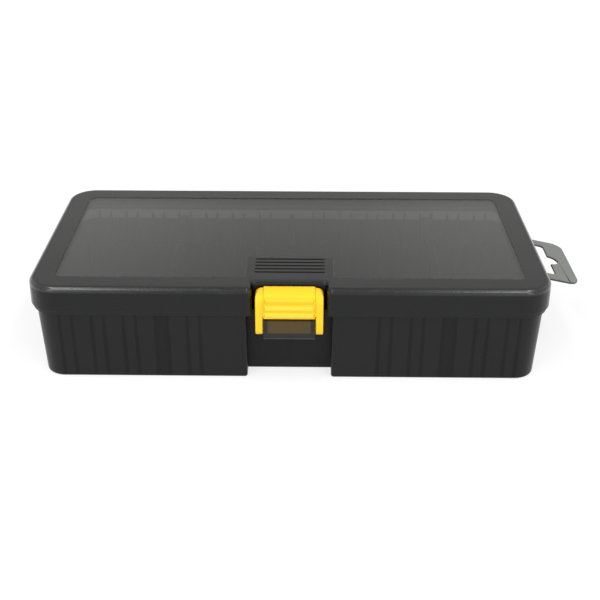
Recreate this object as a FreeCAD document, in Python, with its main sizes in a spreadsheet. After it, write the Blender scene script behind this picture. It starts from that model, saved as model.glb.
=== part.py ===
import FreeCAD, Part
import math
import os

import Sketcher
from FreeCAD import Placement, Rotation, Vector

# A lure box of moulded plastic: a tray with ribbed walls, a hinged lid, a snap latch, a hang tab
# and plates that divide the tray. Sizes are in millimetres unless their meaning says degrees.
# +Z is up, +X is to the right and -Y is to the front, and the origin is in the middle of the
# face that the box stands on.

SIZES = {
    # Lid
    "lid_length": (210.0, "length of the lid, along X"),
    "lid_depth": (103.6, "depth of the lid, along Y"),
    "lid_rise": (9.5, "top of the lid above the tray's rim"),
    "skirt_drop": (3.0, "lower edge of the lid's skirt below the rim"),
    "lid_corner": (12.0, "radius of the lid's corners in plan"),
    "lid_draft": (0.8, "slope of the lid's skirt, in degrees"),
    "lid_wall": (1.7, "wall of the lid's skirt"),
    "lid_top": (1.8, "thickness of the lid's top"),
    "lid_edge": (2.0, "rounding of the lid's top edge"),
    "lip_height": (1.7, "height of the thin lip under the skirt"),
    "lip_inset": (0.8, "step of that lip behind the skirt's face"),
    "seat_reach": (1.0, "reach of the skirt's shoulder over the rim"),
    "seat_gap": (0.1, "gap between the rim and that shoulder"),
    "rim_gap": (0.25, "gap between the skirt and the rim"),
    "window_border": (10.3, "width of the textured border round the window"),
    "window_sink": (0.35, "depth of the window below its border"),
    "window_corner": (3.0, "radius of the window's corners"),
    "grip_width": (35.8, "width of the grip tongue that runs into the window"),
    "grip_reach": (29.4, "reach of the grip tongue from the lid's front"),
    "grip_corner": (2.0, "radius of the grip tongue's corners"),
    "groove_side": (3.6, "grip tongue's side to the end of a groove"),
    "groove_back": (2.0, "grip tongue's back edge to the last groove"),
    "groove_radius": (0.55, "half the width of a groove"),
    "groove_depth": (0.5, "depth of a groove"),
    "groove_pitch": (3.0, "step from groove to groove"),
    "groove_count": (5, "number of grooves"),
    "notch_gap": (1.4, "gap between the latch and the sides of the lid's notch"),
    "notch_corner": (2.4, "rounding of the notch's outer upright edges"),
    "notch_root": (1.5, "rounding of the notch's inner upright edges"),
    "catch_inset": (6.0, "notch's side to the end of the catch bead"),
    "catch_depth": (0.25, "reach of the catch bead"),
    "catch_height": (1.3, "height of the catch bead"),
    "catch_gap": (0.3, "gap between the latch's nose and the catch bead"),
    # Tray
    "rim_height": (33.3, "height of the tray's rim"),
    "tray_draft": (2.66, "slope of the tray's walls, in degrees"),
    "tray_wall": (1.8, "wall of the tray"),
    "tray_floor": (1.8, "floor of the tray"),
    "tray_edge": (1.2, "rounding of the tray's bottom edge"),
    "rim_wall": (1.2, "wall of the thin band under the rim"),
    "rim_band": (4.1, "height of that band"),
    "recess_gap": (0.5, "gap between the front recess and the lid's notch walls"),
    "recess_corner": (1.0, "rounding of the recess's upright edges"),
    "wall_drop": (1.8, "top of the inner walls below the rim"),
    "row_wall": (1.8, "wall between the front row and the rear row"),
    "row_wall_place": (17.0, "place of that wall behind the middle"),
    "cross_wall": (2.1, "wall between the left half and the right half"),
    # Slots and dividers
    "slot_pitch": (12.86, "step from slot to slot"),
    "first_front_slot": (3, "first slot of the front wall beside the latch recess"),
    "slot_width": (3.8, "clear width between the two ribs of a slot"),
    "rib_width": (1.2, "width of a rib"),
    "rib_depth": (2.2, "reach of a rib from its wall"),
    "rib_drop": (0.6, "top of the ribs below the rim or wall top"),
    "rib_lead": (0.6, "lead-in at a rib's top, across the slot"),
    "rib_lead_height": (3.4, "height of that lead-in"),
    "divider_plate": (1.4, "plate of a divider"),
    "bead_gap": (0.25, "side gap between a divider's bead and the ribs"),
    "bead_depth": (2.0, "depth of the bead"),
    "divider_gap": (0.3, "gap between a divider's ends and the walls"),
    "divider_drop": (0.5, "top of a divider below the inner walls"),
    "left_slot": (4, "slot of the left dividers, counted from the cross wall"),
    "right_slot": (5, "slot of the right dividers, counted from the cross wall"),
    # Latch and its bracket
    "latch_width": (27.2, "width of the latch over its arms"),
    "latch_setback": (2.0, "latch axis behind the front of the rim"),
    "latch_drop": (9.5, "latch axis below the rim"),
    "latch_dip": (2.4, "top of the latch's arms below the lid's top"),
    "latch_back": (2.6, "back of the latch behind its axis"),
    "arm_width": (3.05, "width of an arm"),
    "arm_side_gap": (0.2, "side gap between the arms and the bracket"),
    "arm_bend": (5.2, "radius of an arm's upper bend"),
    "arm_waist": (5.2, "height above the axis where an arm narrows to the boss"),
    "boss_wall": (0.6, "wall of an arm's boss round the shaft"),
    "shaft_diameter": (4.8, "shaft of the latch"),
    "shaft_clearance": (0.08, "radial clearance of the shaft in the bracket"),
    "shell_wall": (1.6, "shell of the latch"),
    "shell_rise": (6.4, "lower edge of the shell above the axis"),
    "nose_depth": (1.6, "thickness of the latch's nose"),
    "nose_drop": (2.8, "tip of the nose below the arms' top"),
    "nose_chamfer": (0.5, "lead-in at the nose's tip"),
    "pad_proud": (1.2, "reach of the finger pad in front of the arms"),
    "pad_lift": (0.6, "top of the finger pad above the arms' top"),
    "pad_rise": (5.7, "lower edge of the finger pad above the axis"),
    "ridge_radius": (1.4, "radius of a finger ridge"),
    "ridge_proud": (0.6, "reach of a ridge in front of the pad"),
    "ridge_start": (1.7, "first ridge above the pad's lower edge"),
    "ridge_pitch": (3.0, "step from ridge to ridge on the flat of the pad"),
    "ridge_turn": (25.0, "place of the top ridge round the bend, in degrees"),
    "ridge_inset": (0.6, "pad's side to the end of a ridge"),
    "latch_corner": (2.6, "radius of the latch's upper corners, from the front"),
    "bracket_side": (1.75, "side wall of the bracket"),
    "bracket_plate": (1.2, "front wall of the bracket"),
    "bracket_floor": (1.6, "floor of the bracket"),
    "bracket_room": (0.2, "room between the shaft and the bracket's plates"),
    "bracket_rise": (4.6, "top of the bracket above the latch axis"),
    "bracket_chamfer": (1.0, "chamfer along the bracket's front edges"),
    "neck_grip": (0.6, "mouth of the bracket narrower than the shaft"),
    # Lid hinges
    "hinge_offset": (1.55, "hinge axis behind the lid's back"),
    "hinge_drop": (2.3, "hinge axis below the rim"),
    "hinge_spread": (124.0, "distance between the two hinges"),
    "barrel_wall": (1.4, "wall of the hinge barrels round the pin"),
    "knuckle_width": (10.0, "width of a lid knuckle"),
    "knuckle_foot": (3.2, "top of a knuckle's web above its barrel"),
    "knuckle_sink": (0.085, "how far a knuckle's foot is let into the skirt"),
    "ear_width": (4.0, "width of a tray ear"),
    "ear_side_gap": (0.2, "gap between a knuckle and its ears"),
    "pin_diameter": (2.0, "diameter of a hinge pin"),
    "pin_clearance": (0.05, "radial clearance of the pin in the knuckle"),
    "cutout_gap": (0.3, "gap between the ears and the lid's cut-outs"),
    "cutout_rise": (2.8, "top of the cut-outs above the hinge axis"),
    # Hang tab
    "tab_width": (39.3, "width of the hang tab, along Y"),
    "tab_reach": (18.45, "reach of the tab from its axis"),
    "tab_plate": (0.9, "thickness of the tab"),
    "tab_corner": (5.0, "radius of the tab's corners"),
    "tab_barrel": (1.3, "radius of the tab's barrel"),
    "tab_wall_gap": (0.35, "gap between the tab's barrel and the rim"),
    "tab_drop": (0.4, "tab's axis below the rim"),
    "tab_droop": (12.0, "angle of the tab below level, at rest"),
    "tab_pin_step": (0.5, "step from the barrel down to its end pins"),
    "tab_pin_length": (2.6, "length of an end pin"),
    "tab_pin_clearance": (0.08, "radial clearance of the end pins"),
    "hanger_length": (28.6, "length of the hanging slot"),
    "hanger_width": (5.6, "width of the hanging slot"),
    "hanger_start": (3.4, "near edge of the slot, from the axis"),
    "hanger_corner": (1.5, "radius of the slot's corners"),
    "hanger_arch": (3.9, "radius of the slot's arch"),
    "lug_width": (2.8, "width of a lug that carries the tab"),
    "lug_wall": (1.1, "wall of a lug round the pin"),
    "lug_step": (0.5, "rim's face to the foot of a lug's upper slope"),
    "lug_side_gap": (0.2, "gap between a lug and the barrel"),
    "side_notch_gap": (0.66, "gap between the lugs and the lid's side notch"),
    "side_notch_rise": (0.4, "top of that notch above the lugs"),
}

SHEET = "Sizes"
STEP_FOLDER = "parts"
LEAST_CUT = 0.01
SAME_PLACE = 0.01


class Formula:
    """A number together with the spreadsheet formula that gives it."""

    def __init__(self, text, value):
        self.text = text
        self.value = value

    @staticmethod
    def of(thing):
        if isinstance(thing, Formula):
            return thing
        return Formula(repr(thing), float(thing))

    def __add__(self, other):
        other = Formula.of(other)
        return Formula(f"({self.text} + {other.text})", self.value + other.value)

    def __sub__(self, other):
        other = Formula.of(other)
        return Formula(f"({self.text} - {other.text})", self.value - other.value)

    def __mul__(self, other):
        other = Formula.of(other)
        return Formula(f"({self.text} * {other.text})", self.value * other.value)

    def __truediv__(self, other):
        other = Formula.of(other)
        return Formula(f"({self.text} / {other.text})", self.value / other.value)

    def __neg__(self):
        return Formula(f"(0 - {self.text})", -self.value)

    __radd__ = __add__
    __rmul__ = __mul__

    def __rsub__(self, other):
        return Formula.of(other) - self


def of_angle(function, angle):
    """Sine, cosine or tangent of a formula in degrees."""
    value = getattr(math, function)(math.radians(angle.value))
    return Formula(f"{function}({angle.text} * 1 deg)", value)


def whole_number(formula):
    """A formula rounded down."""
    return Formula(f"floor({formula.text})", math.floor(formula.value))


class SizeNames:
    """Every size of the sheet as a Formula, under its own name."""

    def __init__(self, table):
        for name, (value, _) in table.items():
            setattr(self, name, Formula(f"{SHEET}.{name}", float(value)))


def fill_sheet():
    """Writes the driving sizes into the spreadsheet, one row each."""
    sheet = doc.addObject("Spreadsheet::Sheet", SHEET)
    for line, (name, (value, meaning)) in enumerate(SIZES.items(), start=1):
        sheet.set(f"A{line}", name)
        sheet.set(f"B{line}", str(value))
        sheet.set(f"C{line}", meaning)
        sheet.setAlias(f"B{line}", name)
    doc.recompute()


doc = FreeCAD.newDocument("lure_box")
pieces = []
fill_sheet()
size = SizeNames(SIZES)

# Heights

box_height = size.rim_height + size.lid_rise
lid_bottom = size.rim_height - size.skirt_drop
seat_height = size.rim_height + size.seat_gap
wall_top = size.rim_height - size.wall_drop
latch_z = size.rim_height - size.latch_drop
arm_top = box_height - size.latch_dip
arm_bend_z = arm_top - size.arm_bend
nose_tip = arm_top - size.nose_drop
hinge_z = size.rim_height - size.hinge_drop
tab_z = size.rim_height - size.tab_drop

# Outlines in plan

lid_half_x = size.lid_length / 2
lid_half_y = size.lid_depth / 2
lid_overhang = size.lid_wall + size.rim_gap
rim_half_x = lid_half_x - lid_overhang
rim_half_y = lid_half_y - lid_overhang
rim_corner = size.lid_corner - lid_overhang
wall_slope = of_angle("tan", size.tray_draft)
row_wall_front = size.row_wall_place - size.row_wall / 2
row_wall_back = size.row_wall_place + size.row_wall / 2

# Latch, and the notch and recess that make room for it

shaft_radius = size.shaft_diameter / 2
boss_radius = shaft_radius + size.boss_wall
latch_y = -rim_half_y + size.latch_setback
latch_half = size.latch_width / 2
arm_inner = latch_half - size.arm_width
arm_front = latch_y - boss_radius
arm_bend_y = arm_front + size.arm_bend
latch_rear = latch_y + size.latch_back
pad_half = arm_inner - size.arm_side_gap
pad_front = arm_front - size.pad_proud
pad_top = arm_top + size.pad_lift
pad_bend = size.arm_bend + size.pad_proud
pad_bend_z = pad_top - pad_bend
pad_bottom = latch_z + size.pad_rise
notch_half = latch_half + size.notch_gap
notch_back = latch_rear + size.catch_gap + size.catch_depth
recess_half = notch_half + size.lid_wall + size.recess_gap
recess_back = notch_back + size.lid_wall + size.recess_gap

# Slots

slot_room = rim_half_x - size.tray_wall - size.rim_height * wall_slope
pair_half = size.slot_width / 2 + size.rib_width
slots_per_side = whole_number((slot_room - pair_half) / size.slot_pitch)

# Hinges and hang tab

hinge_x = size.hinge_spread / 2
hinge_y = lid_half_y + size.hinge_offset
pin_radius = size.pin_diameter / 2
barrel_radius = pin_radius + size.barrel_wall
ear_from = size.knuckle_width / 2 + size.ear_side_gap
ear_to = ear_from + size.ear_width
tab_x = rim_half_x + size.tab_barrel + size.tab_wall_gap
tab_pin_radius = size.tab_barrel - size.tab_pin_step
lug_radius = tab_pin_radius + size.lug_wall
lug_from = size.tab_width / 2 + size.lug_side_gap
lug_to = lug_from + size.lug_width


def rim_inset(inward, height):
    """How far a sloped tray wall stands inside the rim's outline at a height."""
    return inward + (size.rim_height - height) * wall_slope


def bind(thing, prop, formula):
    """Ties a property of an object to the sheet."""
    thing.setExpression(prop, Formula.of(formula).text)


def settle(feature):
    """Works a feature out, and stops if it fails."""
    doc.recompute()
    if "Up-to-date" not in feature.State:
        raise RuntimeError(f"{feature.Name}: {feature.getStatusString()}")
    return feature


def origin_plane(body, role):
    return [face for face in body.Origin.OriginFeatures if face.Role == role][0]


def new_body(label):
    return doc.addObject("PartDesign::Body", label)


def new_piece(label):
    body = new_body(label)
    pieces.append(body)
    return body


def new_sketch(body, name, role, lift=0, lean=None):
    """Sketch on one of the body's own planes, lifted off it and leaned about its own X axis."""
    sketch = body.newObject("Sketcher::SketchObject", name)
    sketch.AttachmentSupport = [(origin_plane(body, role), "")]
    sketch.MapMode = "FlatFace"
    if lean is not None:
        turn = Rotation(Vector(1, 0, 0), lean.value)
        sketch.AttachmentOffset = Placement(Vector(0, 0, 0), turn)
        sketch.setExpression("AttachmentOffset.Rotation.Angle", f"{lean.text} * 1 deg")
    bind(sketch, "AttachmentOffset.Base.z", lift)
    return sketch


def hold(sketch, kind, geometry, end, place):
    """Ties one coordinate of a point of a sketch to its formula."""
    place = Formula.of(place)
    if place.text == "0":
        axis = {"DistanceX": -2, "DistanceY": -1}[kind]
        sketch.addConstraint(Sketcher.Constraint("PointOnObject", geometry, end, axis))
        return
    index = sketch.addConstraint(Sketcher.Constraint(kind, -1, 1, geometry, end, place.value))
    bind(sketch, f"Constraints[{index}]", place)


def hold_point(sketch, geometry, end, corner):
    hold(sketch, "DistanceX", geometry, end, corner[0])
    hold(sketch, "DistanceY", geometry, end, corner[1])


def point_of(corner):
    return Vector(Formula.of(corner[0]).value, Formula.of(corner[1]).value, 0)


def arc_between(start, end, centre):
    """Arc of half a turn at most between two points, and whether it runs backwards."""
    first = math.atan2(start.y - centre.y, start.x - centre.x)
    last = math.atan2(end.y - centre.y, end.x - centre.x)
    half_turn = math.pi + 1e-6
    backwards = (last - first) % (2 * math.pi) > half_turn
    if backwards:
        first, last = last, first
    circle = Part.Circle(centre, Vector(0, 0, 1), start.distanceToPoint(centre))
    return Part.ArcOfCircle(circle, first, last), backwards


def add_loop(sketch, corners, arcs=None):
    """Closed outline through corners. arcs gives the centre of each side that is an arc."""
    arcs = arcs or {}
    count = len(corners)
    first = sketch.GeometryCount
    points = [point_of(corner) for corner in corners]
    ends = []
    for i, start in enumerate(points):
        end = points[(i + 1) % count]
        side, backwards = Part.LineSegment(start, end), False
        if i in arcs:
            side, backwards = arc_between(start, end, point_of(arcs[i]))
        sketch.addGeometry(side, False)
        ends.append((2, 1) if backwards else (1, 2))
    for i, corner in enumerate(corners):
        before = (i - 1) % count
        meeting = (first + before, ends[before][1], first + i, ends[i][0])
        sketch.addConstraint(Sketcher.Constraint("Coincident", *meeting))
        hold_point(sketch, first + i, ends[i][0], corner)
    for i, centre in arcs.items():
        chord = points[(i + 1) % count] - points[i]
        upright = abs(chord.y) > abs(chord.x)
        kind = "DistanceX" if upright else "DistanceY"
        hold(sketch, kind, first + i, 3, centre[0] if upright else centre[1])


def add_box(sketch, left, right, bottom, top):
    add_loop(sketch, [(left, bottom), (right, bottom), (right, top), (left, top)])


def add_rounded_box(sketch, half_x, half_y, radius):
    """Rectangle with rounded corners, centred on the sketch's origin."""
    in_x = half_x - radius
    in_y = half_y - radius
    corners = [(-in_x, -half_y), (in_x, -half_y), (half_x, -in_y), (half_x, in_y),
               (in_x, half_y), (-in_x, half_y), (-half_x, in_y), (-half_x, -in_y)]
    arcs = {1: (in_x, -in_y), 3: (in_x, in_y), 5: (-in_x, in_y), 7: (-in_x, -in_y)}
    add_loop(sketch, corners, arcs)


def add_circle(sketch, centre, radius):
    radius = Formula.of(radius)
    circle = Part.Circle(point_of(centre), Vector(0, 0, 1), radius.value)
    index = sketch.addGeometry(circle, False)
    hold_point(sketch, index, 3, centre)
    constraint = sketch.addConstraint(Sketcher.Constraint("Radius", index, radius.value))
    bind(sketch, f"Constraints[{constraint}]", radius)


def extrude(body, kind, name, sketch, length, flip=False, both=False, taper=None):
    """Pad or pocket of a sketch. both runs it half to each side of the sketch."""
    feature = body.newObject(f"PartDesign::{kind}", name)
    feature.Profile = sketch
    feature.Reversed = flip
    if both:
        feature.SideType = "Symmetric"
    bind(feature, "Length", length)
    if taper is not None:
        bind(feature, "TaperAngle", taper)
    return settle(feature)


def pad(body, name, sketch, length, **choices):
    return extrude(body, "Pad", name, sketch, length, **choices)


def pocket(body, name, sketch, length, **choices):
    """Cuts a sketch out of the body, and stops if nothing was cut."""
    before = body.Shape.Volume
    feature = extrude(body, "Pocket", name, sketch, length, **choices)
    if body.Shape.Volume > before - LEAST_CUT:
        raise RuntimeError(f"{name} cuts nothing")
    return feature


def new_row(body, name, sketch, axis, pitch, count, flip=False):
    """Row of copies along an axis of a sketch."""
    pattern = body.newObject("PartDesign::LinearPattern", name)
    pattern.Direction = (sketch, [axis])
    pattern.Reversed = flip
    pattern.Mode = "Spacing"
    bind(pattern, "Offset", pitch)
    bind(pattern, "Occurrences", count)
    return pattern


def new_mirror(body, name, role):
    copy = body.newObject("PartDesign::Mirrored", name)
    copy.MirrorPlane = (origin_plane(body, role), [""])
    return copy


def apply_copies(body, copies, originals):
    """Gives a row or a mirror the features that it copies, and adds the result to the body."""
    copies.Originals = originals
    body.Tip = copies
    return settle(copies)


def mirror(body, name, features, role="YZ_Plane"):
    """Copies features to the other side of one of the body's planes."""
    return apply_copies(body, new_mirror(body, name, role), features)


def round_edges(body, name, radius, wanted):
    """Rounds the edges of the body that the test picks out."""
    base = body.Tip
    names = [f"Edge{i}" for i, edge in enumerate(base.Shape.Edges, start=1) if wanted(edge)]
    if not names:
        raise RuntimeError(f"{name} finds no edge")
    fillet = body.newObject("PartDesign::Fillet", name)
    fillet.Base = (base, names)
    bind(fillet, "Radius", radius)
    body.Tip = fillet
    return settle(fillet)


def upright_near(x, y, reach):
    """Test for steep edges near a line at -x or x and y."""
    def wanted(edge):
        box = edge.BoundBox
        steep = box.ZLength > 3 * max(box.XLength, box.YLength)
        near_x = abs(abs(box.Center.x) - x.value) < reach.value
        return steep and near_x and abs(box.Center.y - y.value) < reach.value
    return wanted


def at_height(height):
    """Test for edges that lie flat at a height."""
    def wanted(edge):
        box = edge.BoundBox
        low = abs(box.ZMin - height.value) < SAME_PLACE
        return low and abs(box.ZMax - height.value) < SAME_PLACE
    return wanted


# Tray

def make_tray():
    """One moulding: the shell with all that stands out of it, and the rows of ribs inside."""
    shell = new_body("tray_shell")
    add_tray_shell(shell)
    add_recess(shell)
    add_ears(shell)
    add_lugs(shell)
    add_bracket(shell)
    add_inner_walls(shell)
    tray = doc.addObject("Part::MultiFuse", "tray")
    tray.Shapes = [shell] + make_rib_rows()
    tray.Refine = True
    pieces.append(tray)


def add_tray_shell(body):
    """Open box with sloped walls, thinner in a band under the rim."""
    band_foot = size.rim_height - size.rim_band
    boxes = {
        "tray_outside": (Formula.of(0), rim_inset(0, 0), size.rim_height),
        "tray_inside": (size.tray_floor, rim_inset(size.tray_wall, size.tray_floor), box_height),
        "rim_band": (band_foot, rim_inset(size.rim_wall, band_foot), size.rim_band * 2),
    }
    for name, (foot, inset, height) in boxes.items():
        sketch = new_sketch(body, f"{name}_outline", "XY_Plane", foot)
        add_rounded_box(sketch, rim_half_x - inset, rim_half_y - inset, rim_corner - inset)
        if name == "tray_outside":
            pad(body, name, sketch, height, taper=size.tray_draft)
        else:
            pocket(body, name, sketch, height, flip=True, taper=size.tray_draft)


def add_recess(body):
    """Front wall stepped back round the latch, with the slope of the other walls."""
    top = size.rim_height
    slope_in = top * wall_slope
    front = size.rim_wall / 2 - rim_half_y
    block = new_sketch(body, "recess_block_side", "YZ_Plane")
    add_loop(block, [(front + slope_in, 0), (recess_back + slope_in + size.tray_wall, 0),
                     (recess_back + size.tray_wall, top), (front, top)])
    pad(body, "recess_block", block, (recess_half + size.tray_wall) * 2, both=True)
    cut = new_sketch(body, "recess_side", "YZ_Plane")
    outside = -lid_half_y
    add_loop(cut, [(outside, 0), (recess_back + slope_in, 0), (recess_back, top), (outside, top)])
    pocket(body, "recess", cut, recess_half * 2, both=True)
    middle = slope_in / 2 - rim_half_y
    corners = upright_near(recess_half, middle, size.tray_wall)
    round_edges(body, "recess_corners", size.recess_corner, corners)
    round_edges(body, "tray_bottom_edge", size.tray_edge, at_height(Formula.of(0)))


def add_inner_walls(body):
    """The cross wall and the row wall, each let halfway into the tray's walls."""
    low = size.tray_floor / 2
    middle = size.tray_wall / 2
    low_inset = rim_inset(middle, low)
    top_inset = rim_inset(middle, wall_top)
    cross = new_sketch(body, "cross_wall_side", "YZ_Plane")
    add_loop(cross, [(recess_back + low_inset, low), (rim_half_y - low_inset, low),
                     (rim_half_y - top_inset, wall_top), (recess_back + top_inset, wall_top)])
    pad(body, "cross_wall", cross, size.cross_wall, both=True)
    lengthwise = new_sketch(body, "row_wall_front", "XZ_Plane", -size.row_wall_place)
    foot = rim_half_x - low_inset
    head = rim_half_x - top_inset
    add_loop(lengthwise, [(-foot, low), (foot, low), (head, wall_top), (-head, wall_top)])
    pad(body, "row_wall", lengthwise, size.row_wall, both=True)


def add_rib_pair(sketch, x, top):
    """The two ribs of a slot, each with a lead-in at its top."""
    low = size.tray_floor / 2
    near = size.slot_width / 2
    far = near + size.rib_width
    lead = near + size.rib_lead
    shoulder = top - size.rib_lead_height
    for way in (-1, 1):
        add_loop(sketch, [(x + near * way, low), (x + far * way, low), (x + far * way, top),
                          (x + lead * way, top), (x + near * way, shoulder)])


def make_rib_rows():
    """Rib pairs for the front wall, the back wall and both faces of the row wall."""
    one_face = size.rib_depth + size.tray_wall / 2
    both_faces = size.row_wall + size.rib_depth * 2
    slope_in = size.rim_height * wall_slope
    tilt = of_angle("cos", size.tray_draft)
    front_lift = (rim_half_y - slope_in - size.tray_wall - size.rib_depth) * tilt
    back_lift = -(rim_half_y - slope_in - size.tray_wall / 2) * tilt
    rim_ribs = size.rim_height - size.rib_drop
    wall_ribs = wall_top - size.rib_drop
    front_slots = slots_per_side - size.first_front_slot + 1
    one = Formula.of(1)
    rows = {
        "front_ribs": (front_lift, size.tray_draft, rim_ribs, size.first_front_slot, front_slots),
        "back_ribs": (back_lift, -size.tray_draft, rim_ribs, one, slots_per_side),
        "row_ribs": (-size.row_wall_place, None, wall_ribs, one, slots_per_side),
    }
    bodies = []
    for name, (lift, lean, top, first_slot, count) in rows.items():
        body = new_body(name)
        middle = lean is None
        pair = new_sketch(body, f"{name}_pair", "XZ_Plane", lift, lean)
        add_rib_pair(pair, size.slot_pitch * first_slot, top)
        first = pad(body, f"{name}_first", pair, both_faces if middle else one_face, both=middle)
        ribs = body.newObject("PartDesign::MultiTransform", f"{name}_all")
        ribs.Transformations = [
            new_row(body, f"{name}_row", pair, "H_Axis", size.slot_pitch, count),
            new_mirror(body, f"{name}_mirror", "YZ_Plane"),
        ]
        apply_copies(body, ribs, [first])
        bodies.append(body)
    return bodies


def add_bracket(body):
    """Box with an open top in the front recess, in which the latch's shaft turns."""
    room = shaft_radius + size.bracket_room
    inner_front = latch_y - room
    front = inner_front - size.bracket_plate
    floor = latch_z - room
    bottom = floor - size.bracket_floor
    top = latch_z + size.bracket_rise
    above = top + size.bracket_rise
    recess_wall = recess_back + (size.rim_height - latch_z) * wall_slope
    root = recess_wall + size.tray_wall / 2
    cut = size.bracket_chamfer
    outside = new_sketch(body, "bracket_side", "YZ_Plane")
    add_loop(outside, [(front + cut, bottom), (root, bottom), (root, top), (front + cut, top),
                       (front, top - cut), (front, bottom + cut)])
    pad(body, "bracket", outside, pad_half * 2, both=True)
    inside = new_sketch(body, "bracket_room_side", "YZ_Plane")
    add_box(inside, inner_front, recess_wall, floor, above)
    pocket(body, "bracket_room", inside, (pad_half - size.bracket_side) * 2, both=True)
    hole = new_sketch(body, "shaft_hole_side", "YZ_Plane")
    add_circle(hole, (latch_y, latch_z), shaft_radius + size.shaft_clearance)
    pocket(body, "shaft_hole", hole, latch_half * 2, both=True)
    mouth = shaft_radius - size.neck_grip / 2
    neck = new_sketch(body, "snap_neck_side", "YZ_Plane")
    add_box(neck, latch_y - mouth, latch_y + mouth, latch_z, above)
    pocket(body, "snap_neck", neck, latch_half * 2, both=True)


def add_ears(body):
    """Two ears on the back wall for each hinge pin."""
    low = hinge_z - barrel_radius * 2
    low_root = rim_half_y - rim_inset(size.rim_wall / 2, low)
    top_root = rim_half_y - size.rim_wall / 2
    features = []
    for name, place in (("inner", hinge_x - ear_to), ("outer", hinge_x + ear_from)):
        ear = new_sketch(body, f"{name}_ear_side", "YZ_Plane", place)
        add_loop(ear, [(low_root, low), (hinge_y, hinge_z - barrel_radius),
                       (hinge_y, hinge_z + barrel_radius),
                       (top_root, size.rim_height - size.rim_wall)], {1: (hinge_y, hinge_z)})
        features.append(pad(body, f"{name}_ear", ear, size.ear_width))
    bore = new_sketch(body, "ear_bore_side", "YZ_Plane", hinge_x - ear_to)
    add_circle(bore, (hinge_y, hinge_z), pin_radius)
    features.append(pocket(body, "ear_bore", bore, ear_to * 2, flip=True))
    mirror(body, "left_ears", features)


def add_lugs(body):
    """Two lugs at the right-hand end that carry the hang tab's end pins."""
    low = tab_z - lug_radius
    low_root = rim_half_x - rim_inset(size.rim_wall / 2, low)
    lug = new_sketch(body, "lug_front", "XZ_Plane", lug_from)
    add_loop(lug, [(low_root, low), (tab_x, low), (tab_x, tab_z + lug_radius),
                   (rim_half_x + size.lug_step, size.rim_height),
                   (rim_half_x - size.rim_wall / 2, size.rim_height)], {1: (tab_x, tab_z)})
    near_lug = pad(body, "lug", lug, size.lug_width)
    bore = new_sketch(body, "lug_bore_front", "XZ_Plane", lug_from)
    add_circle(bore, (tab_x, tab_z), tab_pin_radius + size.tab_pin_clearance)
    near_bore = pocket(body, "lug_bore", bore, size.lug_width, flip=True)
    mirror(body, "far_lug", [near_lug, near_bore], "XZ_Plane")


# Lid

def make_lid():
    body = new_piece("lid")
    add_lid_shell(body)
    add_notch(body)
    add_window(body)
    add_grooves(body)
    add_knuckles(body)
    add_side_notch(body)


def add_lid_shell(body):
    """Cap with a sloped skirt, and a shoulder inside it that sits over the tray's rim."""
    outside = new_sketch(body, "lid_outline", "XY_Plane", lid_bottom)
    add_rounded_box(outside, lid_half_x, lid_half_y, size.lid_corner)
    pad(body, "lid_outside", outside, box_height - lid_bottom, taper=-size.lid_draft)
    hollows = {
        "skirt_room": (lid_bottom, seat_height, size.lid_wall),
        "lid_room": (seat_height, box_height - size.lid_top, size.lid_wall + size.seat_reach),
    }
    for name, (low, high, wall) in hollows.items():
        sketch = new_sketch(body, f"{name}_outline", "XY_Plane", low)
        add_rounded_box(sketch, lid_half_x - wall, lid_half_y - wall, size.lid_corner - wall)
        pocket(body, name, sketch, high - low, flip=True)


def add_notch(body):
    """Notch in the front for the latch, with its own walls, and the edges that run round it."""
    block = new_sketch(body, "notch_block_outline", "XY_Plane", lid_bottom)
    outer = notch_half + size.lid_wall
    add_box(block, -outer, outer, size.lid_wall / 2 - lid_half_y, notch_back + size.lid_wall)
    pad(body, "notch_block", block, box_height - lid_bottom - size.lid_top / 2)
    cut = new_sketch(body, "notch_outline", "XY_Plane")
    add_box(cut, -notch_half, notch_half, -size.lid_depth, notch_back)
    pocket(body, "notch", cut, box_height, flip=True)
    convex = upright_near(notch_half, -lid_half_y, size.lid_wall / 2)
    round_edges(body, "notch_outer_corners", size.notch_corner, convex)
    concave = upright_near(notch_half, notch_back, size.lid_wall / 2)
    round_edges(body, "notch_inner_corners", size.notch_root, concave)
    round_edges(body, "lid_top_edge", size.lid_edge, at_height(box_height))
    lip = new_sketch(body, "lip_outline", "XY_Plane", lid_bottom)
    add_rounded_box(lip, size.lid_length, size.lid_depth, size.lid_corner)
    inset = size.lip_inset
    add_rounded_box(lip, lid_half_x - inset, lid_half_y - inset, size.lid_corner - inset)
    pocket(body, "lip", lip, size.lip_height, flip=True)
    bead_half = notch_half - size.catch_inset
    bead = new_sketch(body, "catch_bead_side", "YZ_Plane")
    tip = notch_back - size.catch_depth
    add_loop(bead, [(notch_back + size.lid_wall / 2, nose_tip),
                    (notch_back + size.lid_wall / 2, nose_tip - size.catch_height),
                    (notch_back, nose_tip - size.catch_height),
                    (tip, nose_tip - size.catch_height / 2), (tip, nose_tip)])
    pad(body, "catch_bead", bead, bead_half * 2, both=True)


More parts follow.
